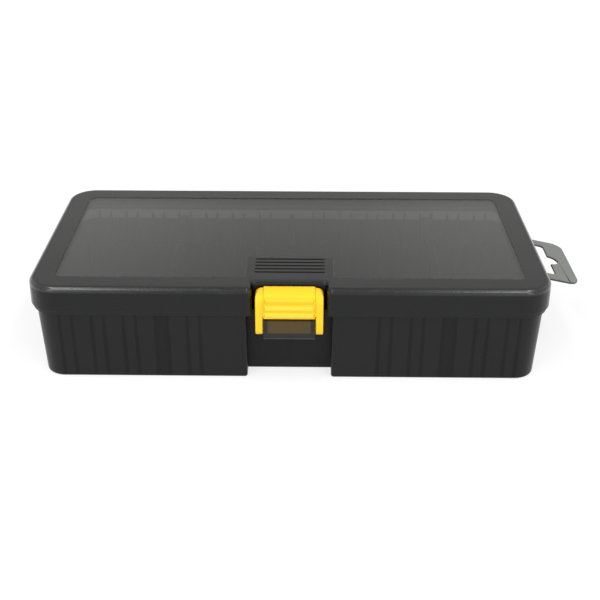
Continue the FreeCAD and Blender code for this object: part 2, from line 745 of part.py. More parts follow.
def add_window(body):
    """Shallow window in the lid's top, with the grip tongue left standing in it."""
    across = lid_half_x - size.window_border
    deep = lid_half_y - size.window_border
    round_in = size.window_corner
    grip = size.grip_width / 2
    grip_in = size.grip_corner
    grip_end = size.grip_reach - lid_half_y
    in_x = across - round_in
    in_y = deep - round_in
    corners = [(grip, -deep), (in_x, -deep), (across, -in_y), (across, in_y), (in_x, deep),
               (-in_x, deep), (-across, in_y), (-across, -in_y), (-in_x, -deep), (-grip, -deep),
               (-grip, grip_end - grip_in), (grip_in - grip, grip_end),
               (grip - grip_in, grip_end), (grip, grip_end - grip_in)]
    arcs = {1: (in_x, -in_y), 3: (in_x, in_y), 5: (-in_x, in_y), 7: (-in_x, -in_y),
            10: (grip_in - grip, grip_end - grip_in), 12: (grip - grip_in, grip_end - grip_in)}
    window = new_sketch(body, "window_outline", "XY_Plane", box_height)
    add_loop(window, corners, arcs)
    pocket(body, "window", window, size.window_sink)


def add_grooves(body):
    """Finger grooves across the grip tongue, from its back edge to the front."""
    radius = size.groove_radius
    straight = size.grip_width / 2 - size.groove_side - radius
    last = size.grip_reach - lid_half_y - size.groove_back
    groove = new_sketch(body, "groove_outline", "XY_Plane", box_height)
    corners = [(-straight, last - radius), (straight, last - radius), (straight, last + radius),
               (-straight, last + radius)]
    add_loop(groove, corners, {1: (straight, last), 3: (-straight, last)})
    first = pocket(body, "groove", groove, size.groove_depth)
    row = new_row(body, "grooves", groove, "V_Axis", size.groove_pitch, size.groove_count, True)
    apply_copies(body, row, [first])


def add_knuckles(body):
    """Cut-outs in the skirt for the tray's ears, and a knuckle between each two of them."""
    half_knuckle = size.knuckle_width / 2
    cut_to = ear_to + size.cutout_gap
    cuts = new_sketch(body, "ear_cutout_back", "XZ_Plane", -lid_half_y * 2)
    low = lid_bottom - size.lip_height
    high = hinge_z + size.cutout_rise
    add_box(cuts, hinge_x - cut_to, hinge_x - half_knuckle, low, high)
    add_box(cuts, hinge_x + half_knuckle, hinge_x + cut_to, low, high)
    cutouts = pocket(body, "ear_cutouts", cuts, lid_half_y + size.lid_wall * 2, flip=True)
    root = lid_half_y - size.lip_inset - size.knuckle_sink
    side = new_sketch(body, "knuckle_side", "YZ_Plane", hinge_x)
    foot = hinge_z + barrel_radius + size.knuckle_foot
    add_loop(side, [(root, lid_bottom), (hinge_y, hinge_z - barrel_radius),
                    (hinge_y, hinge_z + barrel_radius), (root, foot)], {1: (hinge_y, hinge_z)})
    knuckle = pad(body, "knuckle", side, size.knuckle_width, both=True)
    bore = new_sketch(body, "knuckle_bore_side", "YZ_Plane", hinge_x)
    add_circle(bore, (hinge_y, hinge_z), pin_radius + size.pin_clearance)
    hole = pocket(body, "knuckle_bore", bore, size.knuckle_width, both=True)
    mirror(body, "left_knuckle", [cutouts, knuckle, hole])


def add_side_notch(body):
    """Notch in the skirt's right-hand end that clears the hang tab and its lugs."""
    half = lug_to + size.side_notch_gap
    top = tab_z + lug_radius + size.side_notch_rise
    notch = new_sketch(body, "side_notch_front", "XZ_Plane")
    add_box(notch, rim_half_x + size.seat_gap, size.lid_length, 0, top)
    pocket(body, "side_notch", notch, half * 2, both=True)


# Latch

def make_latch():
    """Snap latch: a shaft, two arms, a curved shell, a nose and a ridged finger pad."""
    body = new_piece("latch")
    add_shaft_and_arms(body)
    add_shell_and_nose(body)
    add_finger_pad(body)
    round_latch(body)


def add_shaft_and_arms(body):
    shaft = new_sketch(body, "shaft_side", "YZ_Plane")
    add_circle(shaft, (latch_y, latch_z), shaft_radius)
    pad(body, "shaft", shaft, arm_inner * 2 + size.arm_width, both=True)
    side = new_sketch(body, "arm_side", "YZ_Plane", arm_inner)
    add_loop(side, [(arm_front, latch_z), (latch_y + boss_radius, latch_z),
                    (latch_rear, latch_z + size.arm_waist), (latch_rear, arm_top),
                    (arm_bend_y, arm_top), (arm_front, arm_bend_z)],
             {0: (latch_y, latch_z), 4: (arm_bend_y, arm_bend_z)})
    arm = pad(body, "arm", side, size.arm_width)
    mirror(body, "left_arm", [arm])


def add_shell_and_nose(body):
    wall = size.shell_wall
    bottom = latch_z + size.shell_rise
    width = arm_inner * 2 + size.arm_width
    shell = new_sketch(body, "shell_side", "YZ_Plane")
    add_loop(shell, [(arm_front, bottom), (arm_front + wall, bottom),
                     (arm_front + wall, arm_bend_z), (arm_bend_y, arm_top - wall),
                     (latch_rear, arm_top - wall), (latch_rear, arm_top),
                     (arm_bend_y, arm_top), (arm_front, arm_bend_z)],
             {2: (arm_bend_y, arm_bend_z), 6: (arm_bend_y, arm_bend_z)})
    pad(body, "shell", shell, width, both=True)
    cut = size.nose_chamfer
    nose_front = latch_rear - size.nose_depth
    nose = new_sketch(body, "nose_side", "YZ_Plane")
    add_loop(nose, [(nose_front, nose_tip), (latch_rear - cut, nose_tip),
                    (latch_rear, nose_tip + cut), (latch_rear, arm_top - wall / 2),
                    (nose_front, arm_top - wall / 2)])
    pad(body, "nose", nose, width, both=True)


def add_finger_pad(body):
    """Raised pad over the shell, with two ridges on its flat and one on its bend."""
    inner = size.shell_wall / 2
    under = size.arm_bend - inner
    plate = new_sketch(body, "pad_side", "YZ_Plane")
    add_loop(plate, [(pad_front, pad_bottom), (arm_front + inner, pad_bottom),
                     (arm_front + inner, arm_bend_z), (arm_bend_y, arm_bend_z + under),
                     (latch_rear, arm_bend_z + under), (latch_rear, pad_top),
                     (arm_bend_y, pad_top), (pad_front, pad_bend_z)],
             {2: (arm_bend_y, arm_bend_z), 6: (arm_bend_y, pad_bend_z)})
    pad(body, "finger_pad", plate, pad_half * 2, both=True)
    sunk = size.ridge_radius - size.ridge_proud
    round_bend = pad_bend - sunk
    low_ridge = pad_bottom + size.ridge_start
    places = {
        "low_ridge": (pad_front + sunk, low_ridge),
        "middle_ridge": (pad_front + sunk, low_ridge + size.ridge_pitch),
        "top_ridge": (arm_bend_y - round_bend * of_angle("cos", size.ridge_turn),
                      pad_bend_z + round_bend * of_angle("sin", size.ridge_turn)),
    }
    for name, centre in places.items():
        sketch = new_sketch(body, f"{name}_side", "YZ_Plane")
        add_circle(sketch, centre, size.ridge_radius)
        pad(body, name, sketch, (pad_half - size.ridge_inset) * 2, both=True)


def round_latch(body):
    """Rounds the latch's upper corners, as they show from the front."""
    radius = size.latch_corner
    in_x = latch_half - radius
    in_z = arm_top - radius
    past_x = latch_half + radius
    past_z = arm_top + radius
    corner = new_sketch(body, "latch_corner_front", "XZ_Plane", lid_half_y + size.lid_wall)
    add_loop(corner, [(latch_half, in_z), (past_x, in_z), (past_x, past_z), (in_x, past_z),
                      (in_x, arm_top)], {4: (in_x, in_z)})
    cut = pocket(body, "latch_corner", corner, size.lid_depth / 4)
    mirror(body, "left_latch_corner", [cut])


# Small pieces

def make_pin(label, side):
    """Pin of one lid hinge, pressed into the tray's ears."""
    pin = doc.addObject("Part::Cylinder", label)
    pieces.append(pin)
    pin.Placement = Placement(Vector(0, 0, 0), Rotation(Vector(0, 1, 0), 90))
    bind(pin, "Radius", pin_radius)
    bind(pin, "Height", ear_to * 2)
    bind(pin, "Placement.Base.x", hinge_x * side - ear_to)
    bind(pin, "Placement.Base.y", hinge_y)
    bind(pin, "Placement.Base.z", hinge_z)


def make_hang_tab():
    """Flat tab with a hanging slot, and a barrel with end pins. It lies along +X from its axis."""
    body = new_piece("hang_tab")
    half = size.tab_width / 2
    reach = size.tab_reach
    round_in = size.tab_corner
    plate = new_sketch(body, "tab_outline", "XY_Plane")
    add_loop(plate, [(0, -half), (reach - round_in, -half), (reach, round_in - half),
                     (reach, half - round_in), (reach - round_in, half), (0, half)],
             {1: (reach - round_in, round_in - half), 3: (reach - round_in, half - round_in)})
    add_hanging_slot(plate)
    pad(body, "tab_plate", plate, size.tab_plate, both=True)
    barrel = new_sketch(body, "tab_barrel_end", "XZ_Plane")
    add_circle(barrel, (0, 0), size.tab_barrel)
    pad(body, "tab_barrel", barrel, size.tab_width, both=True)
    pins = new_sketch(body, "tab_pins_end", "XZ_Plane")
    add_circle(pins, (0, 0), tab_pin_radius)
    pad(body, "tab_pins", pins, size.tab_width + size.tab_pin_length * 2, both=True)
    body.Placement = Placement(Vector(0, 0, 0), Rotation(Vector(0, 1, 0), size.tab_droop.value))
    body.setExpression("Placement.Rotation.Angle", f"{size.tab_droop.text} * 1 deg")
    bind(body, "Placement.Base.x", tab_x)
    bind(body, "Placement.Base.z", tab_z)


def add_hanging_slot(sketch):
    """Long slot with rounded ends and an arch in the middle of its far side."""
    near = size.hanger_start
    far = near + size.hanger_width
    end = size.hanger_length / 2
    round_in = size.hanger_corner
    arch = size.hanger_arch
    near_in = near + round_in
    far_in = far - round_in
    end_in = end - round_in
    corners = [(near_in, -end), (far_in, -end), (far, -end_in), (far, -arch), (far, arch),
               (far, end_in), (far_in, end), (near_in, end), (near, end_in), (near, -end_in)]
    arcs = {1: (far_in, -end_in), 3: (far, 0), 5: (far_in, end_in), 7: (near_in, end_in),
            9: (near_in, -end_in)}
    add_loop(sketch, corners, arcs)


def make_divider(label, place, front, back):
    """Plate with a bead along each end. front and back give the walls at its foot and its top."""
    body = new_piece(label)
    low = size.tray_floor
    high = wall_top - size.divider_drop
    gap = size.divider_gap
    foot_front = front[0] + gap
    head_front = front[1] + gap
    foot_back = back[0] - gap
    head_back = back[1] - gap
    plate = new_sketch(body, f"{label}_side", "YZ_Plane", place)
    add_loop(plate, [(foot_front, low), (foot_back, low), (head_back, high), (head_front, high)])
    pad(body, f"{label}_plate", plate, size.divider_plate, both=True)
    deep = size.bead_depth
    beads = new_sketch(body, f"{label}_beads_side", "YZ_Plane", place)
    add_loop(beads, [(foot_front, low), (foot_front + deep, low), (head_front + deep, high),
                     (head_front, high)])
    add_loop(beads, [(foot_back - deep, low), (foot_back, low), (head_back, high),
                     (head_back - deep, high)])
    pad(body, f"{label}_beads", beads, size.slot_width - size.bead_gap * 2, both=True)


def make_dividers():
    """One divider in each of the four quarters of the tray."""
    low_wall = rim_half_y - rim_inset(size.tray_wall, size.tray_floor)
    high_wall = rim_half_y - rim_inset(size.tray_wall, wall_top - size.divider_drop)
    rows = {
        "front": ((-low_wall, -high_wall), (row_wall_front, row_wall_front)),
        "rear": ((row_wall_back, row_wall_back), (low_wall, high_wall)),
    }
    for row, (front, back) in rows.items():
        make_divider(f"divider_{row}_left", -size.slot_pitch * size.left_slot, front, back)
        make_divider(f"divider_{row}_right", size.slot_pitch * size.right_slot, front, back)


def check_model():
    """Stops unless every object is worked out and every piece is a sound solid."""
    doc.recompute()
    for thing in doc.Objects:
        if "Invalid" in thing.State or "Error" in thing.State:
            raise RuntimeError(f"{thing.Name}: {thing.getStatusString()}")
    for piece in pieces:
        if piece.Shape.isNull() or not piece.Shape.isValid():
            raise RuntimeError(f"{piece.Label} has no valid shape")


def export_pieces():
    os.makedirs(STEP_FOLDER, exist_ok=True)
    for piece in pieces:
        piece.Shape.exportStep(f"{STEP_FOLDER}/{piece.Label}.step")
        print(piece.Label, len(piece.Shape.Solids), "solid", round(piece.Shape.Volume), "mm3")


make_tray()
make_lid()
make_latch()
make_pin("hinge_pin_left", -1)
make_pin("hinge_pin_right", 1)
make_hang_tab()
make_dividers()
check_model()
export_pieces()
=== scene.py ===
"""Looks of the lure box: smoky mouldings, a windowed lid, a yellow latch and a frosted tab.

Run as a script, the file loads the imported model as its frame, dresses every piece and sets
the stage. Places are in metres in the model's own frame: X along the length, Y from latch to
hinges, Z up. Patterns in the finishes are written in millimetres.
"""

import math

import bmesh
import bpy
from bpy.props import FloatProperty, FloatVectorProperty, IntProperty, PointerProperty
from bpy.types import Operator, Panel, PropertyGroup
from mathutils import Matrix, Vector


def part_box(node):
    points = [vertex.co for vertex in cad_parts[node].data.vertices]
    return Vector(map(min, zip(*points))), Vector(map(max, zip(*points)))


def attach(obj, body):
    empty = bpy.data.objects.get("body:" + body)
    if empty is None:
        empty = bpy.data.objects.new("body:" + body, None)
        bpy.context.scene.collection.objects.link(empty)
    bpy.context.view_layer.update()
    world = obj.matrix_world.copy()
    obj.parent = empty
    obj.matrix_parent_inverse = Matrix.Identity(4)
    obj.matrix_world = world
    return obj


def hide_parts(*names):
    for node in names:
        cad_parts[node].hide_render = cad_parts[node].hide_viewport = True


bl_info = {
    "name": "Lure box",
    "version": (1, 0, 0),
    "blender": (4, 5, 0),
    "location": "3D View > Sidebar > Lure Box",
    "description": "Dresses the pieces of a lure box and sets them on a studio stage",
    "category": "Add Mesh",
}

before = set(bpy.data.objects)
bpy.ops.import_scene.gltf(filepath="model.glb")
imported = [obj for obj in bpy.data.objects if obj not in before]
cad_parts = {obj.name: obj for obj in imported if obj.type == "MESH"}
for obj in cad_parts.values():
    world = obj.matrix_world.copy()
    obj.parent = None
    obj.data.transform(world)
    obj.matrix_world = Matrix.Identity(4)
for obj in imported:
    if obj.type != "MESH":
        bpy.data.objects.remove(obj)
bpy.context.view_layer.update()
MM = 0.001
SMOOTH_ANGLE = math.radians(32)
EDGE_ANGLE = math.radians(35)
FLAT_ANGLE = math.radians(0.7)
WELD_DISTANCE = 0.000004
LEVEL_TOLERANCE = 0.00005

# Places on the mouldings, in millimetres
SLOT_PITCH = 12.86
RIB_MIDDLE = 2.5
FRONT_SLOTS = (32.2, 96.4)
BACK_SLOTS = (6.4, 96.4)
LEFT_DIVIDERS = -4 * SLOT_PITCH
RIGHT_DIVIDERS = 5 * SLOT_PITCH
ROW_WALL = 17.0
WALL_INNER, WALL_OUTER = 47.6, 48.0
RIM_TOP = 33.3
WALL_SLOPE = 0.0465
CORNER_X, CORNER_Y = 93, 39.8


def length(name, description, default):
    """A size in metres that a user may change."""
    return FloatProperty(
        name=name, description=description, default=default, unit="LENGTH", precision=5
    )


def colour(name, description, default):
    """A colour that a user may change."""
    return FloatVectorProperty(
        name=name, description=description, default=default, subtype="COLOR", size=3, min=0, max=1
    )


class LureBoxSizes(PropertyGroup):
    """Sizes of the softened edges, the window and the stage."""

    tray_edge: length("Tray edge", "Softening of the tray's moulded edges", 0.00016)
    lid_edge: length("Lid edge", "Softening of the lid's moulded edges", 0.00014)
    skirt_edge: length("Skirt edge", "Rounding of the step at the skirt's foot", 0.0003)
    skirt_foot: length("Skirt foot", "Height of the step at the skirt's foot", 0.032)
    latch_edge: length("Latch edge", "Softening of the latch's edges", 0.0004)
    tab_edge: length("Tab edge", "Softening of the hang tab's edges", 0.00022)
    divider_edge: length("Divider edge", "Softening of a divider's edges", 0.0002)
    pin_chamfer: length("Pin chamfer", "Chamfer at the ends of a hinge pin", 0.0003)
    window_half_length: length("Window half length", "Middle to the window's end", 0.0947)
    window_half_depth: length("Window half depth", "Middle to the window's long side", 0.0415)
    window_corner: length("Window corner", "Radius of the window's corners", 0.003)
    grip_half_width: length("Grip half width", "Middle to the side of the grip tongue", 0.0179)
    grip_back: length("Grip back", "Place of the grip tongue's back edge", -0.0224)
    floor_size: length("Floor size", "Side of the square floor", 9.0)
    softbox_height: length("Softbox height", "Height of the overhead softboxes", 1.05)
    camera_place: FloatVectorProperty(
        name="Camera place",
        description="Where the camera stands",
        default=(0.004814, -0.411307, 0.230053),
        subtype="XYZ",
        unit="LENGTH",
    )
    camera_turn: FloatVectorProperty(
        name="Camera turn",
        description="How the camera is turned",
        default=(math.radians(61.913), math.radians(-0.0524), math.radians(0.7451)),
        subtype="EULER",
        unit="ROTATION",
    )
    camera_lens: FloatProperty(
        name="Camera lens", description="Focal length of the camera, in mm", default=62.11
    )
    camera_shift: FloatProperty(
        name="Camera shift", description="Sideways shift of the camera's frame", default=1 / 60
    )
    edge_steps: IntProperty(
        name="Edge steps", description="Number of faces round a softened edge", default=2, min=1
    )
    latch_steps: IntProperty(
        name="Latch steps", description="Number of faces round a latch edge", default=3, min=1
    )


class LureBoxColours(PropertyGroup):
    """Colours of the moulded plastics, the steel and the stage."""

    wall: colour("Walls", "Smoky plastic of the tray", (0.0084, 0.0088, 0.0085))
    # Also painted shade: the same dark tone is laid in the latch recess.
    thick_wall_and_recess_shade: colour(
        "Thick plastic", "Tray wall where a rib stands behind it", (0.003, 0.0032, 0.0031)
    )
    # Painted light: the inner faces get a lighter copy of the smoky plastic, standing in for light
    # that reaches inside.
    inside: colour("Inside", "Faces inside the tray and under the lid", (0.021, 0.022, 0.021))
    # Painted light: the band's lighter colour and its glow, an emission, stand in for light
    # passing through the thin wall under the rim.
    band: colour("Thin band", "Thin wall just under the tray's rim", (0.1, 0.103, 0.095))
    glow: colour("Band glow", "Daylight that the thin band lets through", (0.12, 0.124, 0.114))
    window: colour("Window", "Clear smoky window of the lid", (0.083, 0.086, 0.0785))
    border: colour("Border", "Textured border round the window", (0.0275, 0.0287, 0.0268))
    skirt: colour("Skirt", "Sides of the lid", (0.0036, 0.0038, 0.0041))
    # Painted light: the lit yellow shaft behind the bracket is painted on the plate as this brown
    # tint.
    shaft_glow: colour("Shaft glow", "Latch shaft seen through the bracket", (0.078, 0.051, 0.017))
    yellow: colour("Latch", "Yellow plastic of the latch", (1.0, 0.62, 0.011))
    frost: colour("Hang tab", "Frosted plastic of the hang tab", (0.2, 0.206, 0.189))
    steel: colour("Steel", "Drawn wire of the hinge pins", (0.55, 0.55, 0.56))
    divider: colour("Dividers", "Smoky plastic of the dividers", (0.03, 0.0315, 0.031))
    floor: colour("Floor", "Pale floor and background", (0.9, 0.9, 0.9))


class Value:
    """One number in a node tree. Python's signs add the Math nodes."""

    def __init__(self, nodes, socket):
        self.nodes = nodes
        self.socket = socket

    def maths(self, operation, *others):
        node = self.nodes.add(
            "ShaderNodeMath", {"operation": operation}, dict(enumerate((self, *others)))
        )
        return Value(self.nodes, node.outputs[0])

    def __add__(self, other):
        return self.maths("ADD", other)

    def __sub__(self, other):
        return self.maths("SUBTRACT", other)

    def __rsub__(self, other):
        return (self * -1) + other

    def __mul__(self, other):
        return self.maths("MULTIPLY", other)

    def __truediv__(self, other):
        return self.maths("DIVIDE", other)

    def __pow__(self, power):
        return self.maths("POWER", power)

    def __abs__(self):
        return self.maths("ABSOLUTE")

    __radd__ = __add__
    __rmul__ = __mul__

    def least(self, other):
        return self.maths("MINIMUM", other)

    def most(self, other):
        return self.maths("MAXIMUM", other)

    def rising(self, start, end):
        """Goes smoothly from 0 at start to 1 at end."""
        node = self.nodes.add(
            "ShaderNodeMapRange",
            {"interpolation_type": "SMOOTHSTEP"},
            {"Value": self, "From Min": start, "From Max": end},
        )
        return Value(self.nodes, node.outputs["Result"])

    def within(self, start, end, soft=0.1):
        """Is 1 between start and end and 0 outside, with soft edges."""
        return self.rising(start - soft, start + soft) * (1 - self.rising(end - soft, end + soft))

    def near(self, middle, half, soft=0.1):
        """Is 1 where this value lies within half of middle."""
        return 1 - abs(self - middle).rising(half - soft, half + soft)

    def repeated(self, pitch):
        """Distance to the nearest whole multiple of pitch."""
        return abs((self / pitch + 0.5).maths("FRACT") - 0.5) * pitch


class Nodes:
    """A node tree under construction, of a material or of the world."""

    def __init__(self, owner):
        owner.use_nodes = True
        self.tree = owner.node_tree
        self.tree.nodes.clear()

    def add(self, kind, settings=None, values=None):
        """Adds a node, makes its settings, then fills or links its sockets."""
        node = self.tree.nodes.new(kind)
        for name, setting in (settings or {}).items():
            setattr(node, name, setting)
        for key, value in (values or {}).items():
            self.fill(self.socket_of(node, key), value)
        return node

    @staticmethod
    def socket_of(node, key):
        if isinstance(key, int):
            return node.inputs[key]
        return next(socket for socket in node.inputs if socket.name == key and socket.enabled)

    def fill(self, socket, value):
        if isinstance(value, Value):
            value = value.socket
        if isinstance(value, bpy.types.NodeSocket):
            self.tree.links.new(value, socket)
        elif socket.type == "RGBA":
            socket.default_value = (*value, 1.0)[:4]
        else:
            socket.default_value = value

    def ray(self, kind):
        """Is 1 for one kind of light ray."""
        return Value(self, self.add("ShaderNodeLightPath").outputs[kind])

    def seen(self):
        """Is 1 for the camera, for a reflection and for what shows through clear plastic."""
        direct = self.ray("Is Camera Ray") + self.ray("Is Glossy Ray")
        return (direct + self.ray("Is Transmission Ray")).least(1)


class Finish(Nodes):
    """A material under construction, with its surface shader and its place in millimetres."""

    def __init__(self, name, **settings):
        self.material = bpy.data.materials.new(name)
        super().__init__(self.material)
        output = self.add("ShaderNodeOutputMaterial")
        self.surface = self.add("ShaderNodeBsdfPrincipled", values=settings)
        self.fill(output.inputs["Surface"], self.surface.outputs[0])
        coordinates = self.add("ShaderNodeTexCoord").outputs["Object"]
        scaled = self.add(
            "ShaderNodeVectorMath", {"operation": "SCALE"}, {0: coordinates, "Scale": 1 / MM}
        )
        self.place = scaled.outputs[0]
        axes = self.add("ShaderNodeSeparateXYZ", values={0: self.place})
        self.x, self.y, self.z = (Value(self, socket) for socket in axes.outputs)

    def set(self, **values):
        """Fills sockets of the surface shader, named with underscores for spaces."""
        for name, value in values.items():
            self.fill(self.socket_of(self.surface, name.replace("_", " ")), value)

    def blend(self, factor, first, second):
        """A colour that goes from first to second as factor goes from 0 to 1."""
        node = self.add(
            "ShaderNodeMix", {"data_type": "RGBA"}, {"Factor": factor, "A": first, "B": second}
        )
        return next(socket for socket in node.outputs if socket.enabled)

    def shaded(self, tone, amount):
        """A colour made lighter or darker by a number."""
        node = self.add(
            "ShaderNodeMix",
            {"data_type": "RGBA", "blend_type": "MULTIPLY"},
            {"Factor": 1.0, "A": tone, "B": amount},
        )
        return next(socket for socket in node.outputs if socket.enabled)

    def noise(self, scale, detail=2.0, stretch=(1, 1, 1)):
        """Noise from 0 to 1; scale is the number of spots in a millimetre."""
        mapped = self.add("ShaderNodeMapping", values={"Vector": self.place, "Scale": stretch})
        node = self.add(
            "ShaderNodeTexNoise",
            values={"Vector": mapped.outputs[0], "Scale": scale, "Detail": detail},
        )
        return Value(self, node.outputs[0])

    def past(self, first, first_end, second, second_end):
        """Distance beyond a rectangle's corner: 0 inside, and round arcs outside."""
        along = (first - first_end).most(0)
        across = (second - second_end).most(0)
        return (along * along + across * across) ** 0.5

    def from_corner(self):
        """Distance out from the rectangle that the box's upright corners are rounded about."""
        return self.past(abs(self.x), CORNER_X, abs(self.y), CORNER_Y)

    def upward(self):
        """The part of the surface's direction that points up, in the piece's own frame."""
        coordinates = self.add("ShaderNodeTexCoord").outputs["Normal"]
        return Value(self, self.add("ShaderNodeSeparateXYZ", values={0: coordinates}).outputs[2])

    def bump(self, height, depth):
        """Raises the surface by height times depth, in metres."""
        node = self.add(
            "ShaderNodeBump", values={"Height": height, "Strength": 1.0, "Distance": depth}
        )
        self.set(Normal=node.outputs[0])

    def wear(self, piece, slot):
        """Puts the finish on a piece as its only material. The slot is not used."""
        piece.data.materials.clear()
        piece.data.materials.append(self.material)


def scratches(finish, turn_x, turn_y, amount=0.62):
    """Thin hairlines: 1 on a line, 0 elsewhere. The turns stretch them along X or Y."""
    lines = finish.noise(0.35, 3.0, (turn_x, turn_y, 1))
    return lines.rising(amount, amount + 0.05)


def tray_finish(colours):
    """Smoky plastic: darker where ribs and walls stand behind, with painted shade in the latch
    recess, lighter painted inner faces, a painted tint of the shaft behind the bracket, and a
    painted lighter band and glow under the rim for light through the thin wall.
    """
    finish = Finish("smoke_tray", **{"IOR": 1.5, "Specular IOR Level": 0.2})
    x, y, z = finish.x, finish.y, finish.z
    below_rim = RIM_TOP - z
    rib = x.repeated(SLOT_PITCH).near(RIB_MIDDLE, 0.62 + below_rim * 0.006, 0.16)
    front = (1 - y.rising(-WALL_OUTER, -WALL_INNER)) * abs(x).within(*FRONT_SLOTS)
    back = y.rising(WALL_INNER, WALL_OUTER) * abs(x).within(*BACK_SLOTS)
    plates = x.near(LEFT_DIVIDERS, 1.9, 0.2) + x.near(RIGHT_DIVIDERS, 1.9, 0.2)
    behind = (rib + plates * 0.7).least(1) * (front + back)
    cross = x.near(0, 1.04, 0.18) * abs(y).rising(41.0, 41.4)
    row_end = y.near(ROW_WALL, 0.9, 0.18) * abs(x).rising(101.0, 101.4)
    tall = 1 - z.rising(30.6, 31.0)
    # Painted shade: the recess round the latch is darkened with the thick-wall colour, standing in
    # for the shade of the bracket and latch.
    recess_shade = x.near(0, 17.6, 0.3) * y.within(-44.0, -41.0, 0.2)
    thick_wall_and_recess_shade = (behind + cross + row_end).least(1) * tall + recess_shade * 0.7
    rim = finish.from_corner()
    # Painted light: a lighter band and an emitted glow just under the rim, standing in for light
    # through the thin wall.
    thin = rim.within(8.4, 9.45, 0.12) * z.rising(29.1, 29.35)
    lean = below_rim * WALL_SLOPE
    niche = x.near(0, 18.1, 0.3) * (1 - (y - lean).rising(-41.9, -41.3))
    # Painted light: faces inside the tray are given the lighter inside colour.
    inside = (1 - (rim + lean).rising(8.6, 9.2)) * z.rising(0.9, 1.3) * (1 - niche)
    haze = finish.noise(0.045, 2.0)
    flow = finish.noise(0.12, 2.0, (0.25, 1, 1))
    scuff = scratches(finish, 0.12, 2.2) * (1 - z.rising(0.2, 0.6))
    tone = finish.blend(thick_wall_and_recess_shade.least(1) * 0.9, colours.wall, colours.thick_wall_and_recess_shade)
    tone = finish.blend(inside, tone, colours.inside)
    tone = finish.blend(thin * 0.85, tone, colours.band)
    plate = x.near(0, 10.5, 0.1) * (1 - y.rising(-50.4, -50.2))
    tone = finish.blend(plate * 0.7, tone, (0.024, 0.026, 0.024))
    # Painted light: the lit shaft seen through the bracket, painted on the plate as a brown tint.
    shaft = x.near(0, 8.6, 0.4) * z.within(22.9, 28.4, 0.5) * plate
    tone = finish.blend(shaft, tone, colours.shaft_glow)
    tone = finish.blend(haze * 0.06 + scuff * 0.4, tone, (0.05, 0.052, 0.05))
    gate = ((x * x + y * y) ** 0.5).near(3.0, 0.35, 0.1)
    ejectors = abs(x).repeated(60).near(0, 2.2, 0.1) * abs(y).near(38, 2.2, 0.1)
    under = 1 - z.rising(0.05, 0.2)
    finish.set(
        Base_Color=tone,
        Roughness=0.3 + (haze - 0.5) * 0.12 + (flow - 0.5) * 0.1 + scuff * 0.2,
        Emission_Color=finish.blend(thin, (0, 0, 0), colours.glow),
        Emission_Strength=1.0,
    )
    finish.bump(flow * 0.25 - thick_wall_and_recess_shade * 0.5 - (gate + ejectors) * under * 3 + scuff, 0.00002)
    return finish


